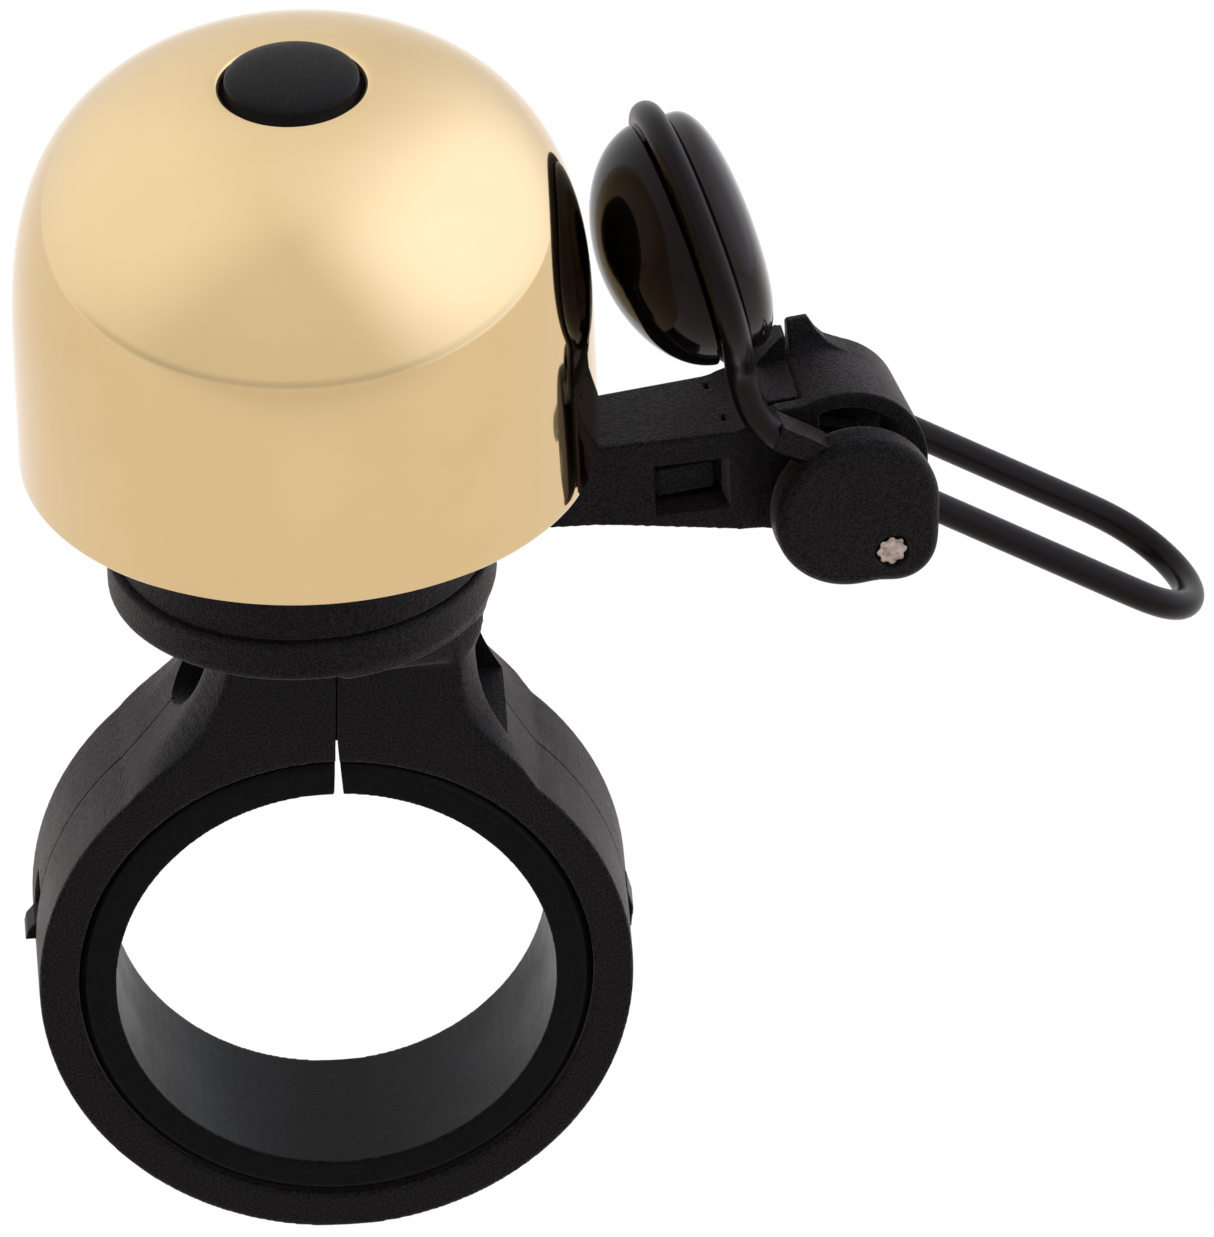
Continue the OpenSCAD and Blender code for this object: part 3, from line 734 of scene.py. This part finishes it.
def parting_line():
    """The fine line round the middle of the clamp, down one side of the neck and up the other."""
    start, end = (math.degrees(math.atan2(z, x)) for x, z in (NECK_LEFT[-1], NECK_RIGHT[-1]))
    ring = arc(0, 0, RING_R, start, end + 360, 150)
    lower = slice(10, -1)  # the part of each side below its pocket's middle
    return line_along(NECK_LEFT[lower] + ring + NECK_RIGHT[lower][::-1], depth=0.16, width=0.1)


def neck_fills():
    """Solids that make the neck whole again: both pockets and the seam."""
    top, skin, nut_half, head_half, seam_half = 21, 0.01, 2.5, 3.3, 4.65
    left = [(x + skin, min(z, top)) for x, z in NECK_LEFT[1:]] + [(-2.5, 11.5), (-2.5, top)]
    right = [(x - skin, min(z, top)) for x, z in NECK_RIGHT[1:]] + [(2.5, 12.9), (2.5, top)]
    seam = [(0.3, 13.2), (0.9, 13.2), (0.9, 20.9), (0.3, 20.9)]
    return [
        extruded(left, -nut_half, nut_half),
        extruded(right, -head_half, head_half),
        extruded(seam, -seam_half, seam_half),
    ]


def make_clamp():
    clamp = moulded(
        "clamp_base", voxel=0.12, smoothing=9, keep=0.4, fills=neck_fills()
    )
    round_neck(clamp)
    shapes = [*seam_shapes(), parting_line(), *pocket_shapes()]
    carve(clamp, [cutter_from(*shape) for shape in shapes])
    paint(clamp, MOULDED)


def make_arm():
    """The box arm, with its window cut crisply."""
    low, high = 22.7, 25.85
    near_wall = [(17, -2.66), (17, -1.4), (21, -1.4), (21, -3.15)]
    vertices = [(x, y, low) for x, y in near_wall] + [(x, y, high) for x, y in near_wall]
    sides = [[i, (i + 1) % 4, 4 + (i + 1) % 4, 4 + i] for i in range(4)]
    fill = (vertices, sides + [[0, 1, 2, 3], [4, 5, 6, 7]])
    arm = moulded(
        "arm_bracket", voxel=0.09, smoothing=5, keep=0.35,
        frame_turn=TO_ARM, fills=[fill], joint=ARM_JOINT,
    )
    window = [(17.1, 22.8), (20.9, 22.8), (20.9, 25.75), (17.1, 25.75)]
    vertices, faces = extruded(window, -5, -1.35)
    carve(arm, [cutter_from([TO_ARM @ Vector(v) for v in vertices], faces)])
    paint(arm, MOULDED)


def make_head_and_latch():
    head = moulded(
        "pivot_head", voxel=0.07, smoothing=6, keep=0.4,
        frame_turn=TO_ARM, joint=ARM_JOINT,
    )
    paint(head, MOULDED)
    latch = moulded(
        "latch_block", voxel=0.06, smoothing=3, keep=0.5, frame_turn=TO_ARM
    )
    paint(latch, MOULDED)


def make_liner():
    paint(moulded("bar_liner", voxel=0.1, smoothing=3, keep=0.3), LINER)


def make_pin():
    pin = moulded("pivot_pin", voxel=0.04, smoothing=3, keep=0.5, frame_turn=TO_ARM)
    paint(pin, PIN_STEEL)


BODY, BODY_R = Vector((26.97, 22.4)), 4.33  # the cheek's round body, in X and Z of the arm's frame
LOBE, LOBE_R = Vector((29.05, 19.95)), 2.08  # its small lobe round the pin


def straight_side():
    """The normal and the direction of the straight side that runs down from the body to the lobe."""
    forward = (LOBE - BODY).normalized()
    lean = (BODY_R - LOBE_R) / (LOBE - BODY).length
    normal = forward * lean + Vector((-forward.y, forward.x)) * math.sqrt(1 - lean ** 2)
    return normal, Vector((normal.y, -normal.x))


def cheek_outline():
    """The body, the lobe and the straight side between them, as a closed line in X and Z."""
    centre = BODY.lerp(LOBE, 0.3)
    normal, down = straight_side()
    steps = 240
    points = []
    for i in range(steps):
        a = 2 * math.pi * i / steps
        ray = Vector((math.cos(a), math.sin(a)))
        reach = 0
        for middle, r in ((BODY, BODY_R), (LOBE, LOBE_R)):
            gap = middle - centre
            along = gap.dot(ray)
            across = gap.length_squared - along ** 2
            if across < r * r:
                reach = max(reach, along + math.sqrt(r * r - across))
        if normal.dot(ray) > 0.1:
            straight = (normal.dot(BODY - centre) + BODY_R) / normal.dot(ray)
            if 0 < (centre + ray * straight - BODY).dot(down) < (LOBE - BODY).dot(down):
                reach = max(reach, straight)
        points.append(centre + ray * reach)
    return relaxed(points, 40)


def cheek_layers():
    """Each layer's distance from the arm's middle, and how far the rounded edges draw it in."""
    inner, outer, inner_edge, outer_edge = 3.05, 5.45, 1.1, 0.65
    layers = []
    for k in range(9):
        a = math.pi / 2 * (1 - k / 8)
        layers.append((inner + inner_edge * (1 - math.sin(a)), inner_edge * (1 - math.cos(a))))
    for k in range(11):
        a = math.pi / 2 * k / 10
        layers.append((outer - outer_edge * (1 - math.sin(a)), outer_edge * (1 - math.cos(a))))
    return layers


def make_cheek(node, side):
    """One side of the lever; side is -1 for the near one and 1 for the far one."""
    vertices, faces = cushion(cheek_outline(), cheek_layers())
    vertices = [TO_ARM @ Vector((x, y * side, z)) for x, y, z in vertices]
    if side > 0:
        faces = [face[::-1] for face in faces]
    cheek = piece_from(node + "_moulded", vertices, faces, "lever", node)
    cut_pin_recess(cheek, side)
    add_collar(cheek, side)
    paint(cheek, MOULDED)


def cut_pin_recess(cheek, side):
    """The round recess that the pin's end sits in."""
    recess_r, floor, past_face = 0.95, 4.25, 6
    pin = TO_ARM.inverted() @ PIN
    rim = arc(pin.x, pin.z, recess_r, 0, 360, 47)[:-1]
    vertices, faces = extruded(rim, *sorted((floor * side, past_face * side)))
    carve(cheek, [cutter_from([TO_ARM @ Vector(v) for v in vertices], faces)])


def add_collar(cheek, side):
    """The short collar round the wire where it leaves the cheek."""
    inner, outer = 3.2, 4.98
    profile = [(22.8, 26.9), (23.4, 28.1), (24.9, 27.05), (26, 26.2), (25.4, 25.4), (24, 26.2)]
    vertices, faces = extruded(profile, *sorted((inner * side, outer * side)))
    bm = bmesh.new()
    bm.from_mesh(cheek.data)
    add_solid(bm, [TO_ARM @ Vector(v) * MM for v in vertices], faces)
    bm.to_mesh(cheek.data)
    bm.free()
    shade(cheek)


make_bell()
make_cap()
make_striker_front()
make_striker_back()
make_wire()
make_clamp()
make_arm()
make_cheek("near_cheek", -1)
make_cheek("far_cheek", 1)
make_head_and_latch()
make_liner()
make_pin()

for node in ("bell_screw", "clamp_screw", "clamp_washer", "clamp_nut", "friction_washer"):
    paint_node(node, STEEL)
paint_node("seat_washer", RUBBER)
paint_node("bell_post", ALUMINIUM)
paint_node("thread_insert", BRASS)
paint_node("return_spring", SPRING_STEEL)
paint_node("spring_sleeve", MOULDED)


# ---- floor, light and camera ----

def from_side(azimuth, elevation):
    """Direction towards a place this many degrees round from the front and above the horizon."""
    a, e = math.radians(azimuth), math.radians(elevation)
    return Vector((math.sin(a) * math.cos(e), -math.cos(a) * math.cos(e), math.sin(e)))


PALE = 0.97  # brightness of the studio's walls
GLOWS = (
    (from_side(92, 27), (0.62, 0.74, 1.05), 74),
    (from_side(-115, 33), (0.29, 0.33, 0.4), 72),
)


def glow(tree, direction, toward, color, width):
    """A broad soft glow round one direction, which has faded out this many degrees away from it."""
    near = add_node(tree, "ShaderNodeVectorMath", {0: direction, 1: toward}, operation="DOT_PRODUCT")
    edge, core = math.cos(math.radians(width)), math.cos(math.radians(width * 0.22))
    inputs = {"Value": near.outputs["Value"], "From Min": edge, "From Max": core}
    fall = add_node(tree, "ShaderNodeMapRange", inputs, interpolation_type="SMOOTHSTEP").outputs["Result"]
    lit = add_node(tree, "ShaderNodeVectorMath", {0: color, "Scale": fall}, operation="SCALE")
    return lit.outputs["Vector"]


def studio_walls(tree, direction):
    """Even pale walls, with a darker line low down past the table's edge that fades towards the back."""
    place = add_node(tree, "ShaderNodeSeparateXYZ", {"Vector": direction}).outputs
    height = add_node(tree, "ShaderNodeMapRange", {"Value": place["Z"], "From Min": -1}).outputs["Result"]
    lined = add_node(tree, "ShaderNodeValToRGB", {"Fac": height})
    stops = ((0.0, PALE), (0.4, PALE), (0.406, 0.7), (0.416, 0.74), (0.43, 0.94), (0.6, PALE), (1.0, 1.0))
    ramp = lined.color_ramp
    for at, value in stops[1:-1]:
        ramp.elements.new(at)
    for element, (at, value) in zip(ramp.elements, stops):
        element.position = at
        element.color = (value, value, value, 1)
    front = add_node(tree, "ShaderNodeMapRange", {"Value": place["Y"], "From Min": 0.3, "From Max": -0.1})
    inputs = {"Factor": front.outputs["Result"], "A": (PALE, PALE, PALE, 1), "B": lined.outputs["Color"]}
    return add_node(tree, "ShaderNodeMix", inputs, data_type="RGBA").outputs["Result"]


def make_surroundings():
    """A white studio with a soft glow on each side."""
    world = bpy.data.worlds.new("studio")
    bpy.context.scene.world = world
    world.use_nodes = True
    tree = world.node_tree
    direction = add_node(tree, "ShaderNodeTexCoord").outputs["Generated"]
    total = studio_walls(tree, direction)
    for toward, color, width in GLOWS:
        lit = glow(tree, direction, toward, color, width)
        total = add_node(tree, "ShaderNodeVectorMath", {0: total, 1: lit}).outputs["Vector"]
    tree.links.new(total, tree.nodes["Background"].inputs["Color"])


def make_floor():
    radius, height = 0.62, -0.085  # in metres, as Blender takes them
    bpy.ops.mesh.primitive_circle_add(
        vertices=128, radius=radius, fill_type="NGON", location=(0, 0, height)
    )
    floor = bpy.context.object
    floor.name = "floor"
    paint(floor, floor_paint_and_shade())


def camera_turn(azimuth, elevation, roll):
    """The camera's right, up and backward directions, from its angles in degrees."""
    back = from_side(azimuth, elevation)
    a = math.radians(azimuth)
    right = Vector((math.cos(a), math.sin(a), 0))
    up = back.cross(right)
    c, s = math.cos(math.radians(roll)), math.sin(math.radians(roll))
    return right * c - up * s, right * s + up * c, back


def make_camera():
    right, up, back = camera_turn(azimuth=-1.409, elevation=33.02, roll=2.545)
    distance = 2.4  # a long lens, yet near enough that the other views don't clip the object
    view_w = 61.307 * MM  # width of the view at the origin
    view_h = view_w * 1237 / 1214  # the picture is a little taller than it is wide
    origin_at = (0.27391, 0.74988)  # where the origin falls, as shares of the view from its top left
    aim = right * (0.5 - origin_at[0]) * view_w + up * (origin_at[1] - 0.5) * view_h
    data = bpy.data.cameras.new("camera")
    camera = bpy.data.objects.new("camera", data)
    bpy.context.scene.collection.objects.link(camera)
    data.sensor_width = 36
    data.lens = data.sensor_width * distance / view_h
    data.clip_start, data.clip_end = 0.1, 20
    turn = Matrix((right, up, back)).transposed().to_4x4()
    camera.matrix_world = Matrix.Translation(aim + back * distance) @ turn
    bpy.context.scene.camera = camera


make_surroundings()
make_floor()
make_camera()
bpy.context.scene.view_settings.view_transform = "Standard"
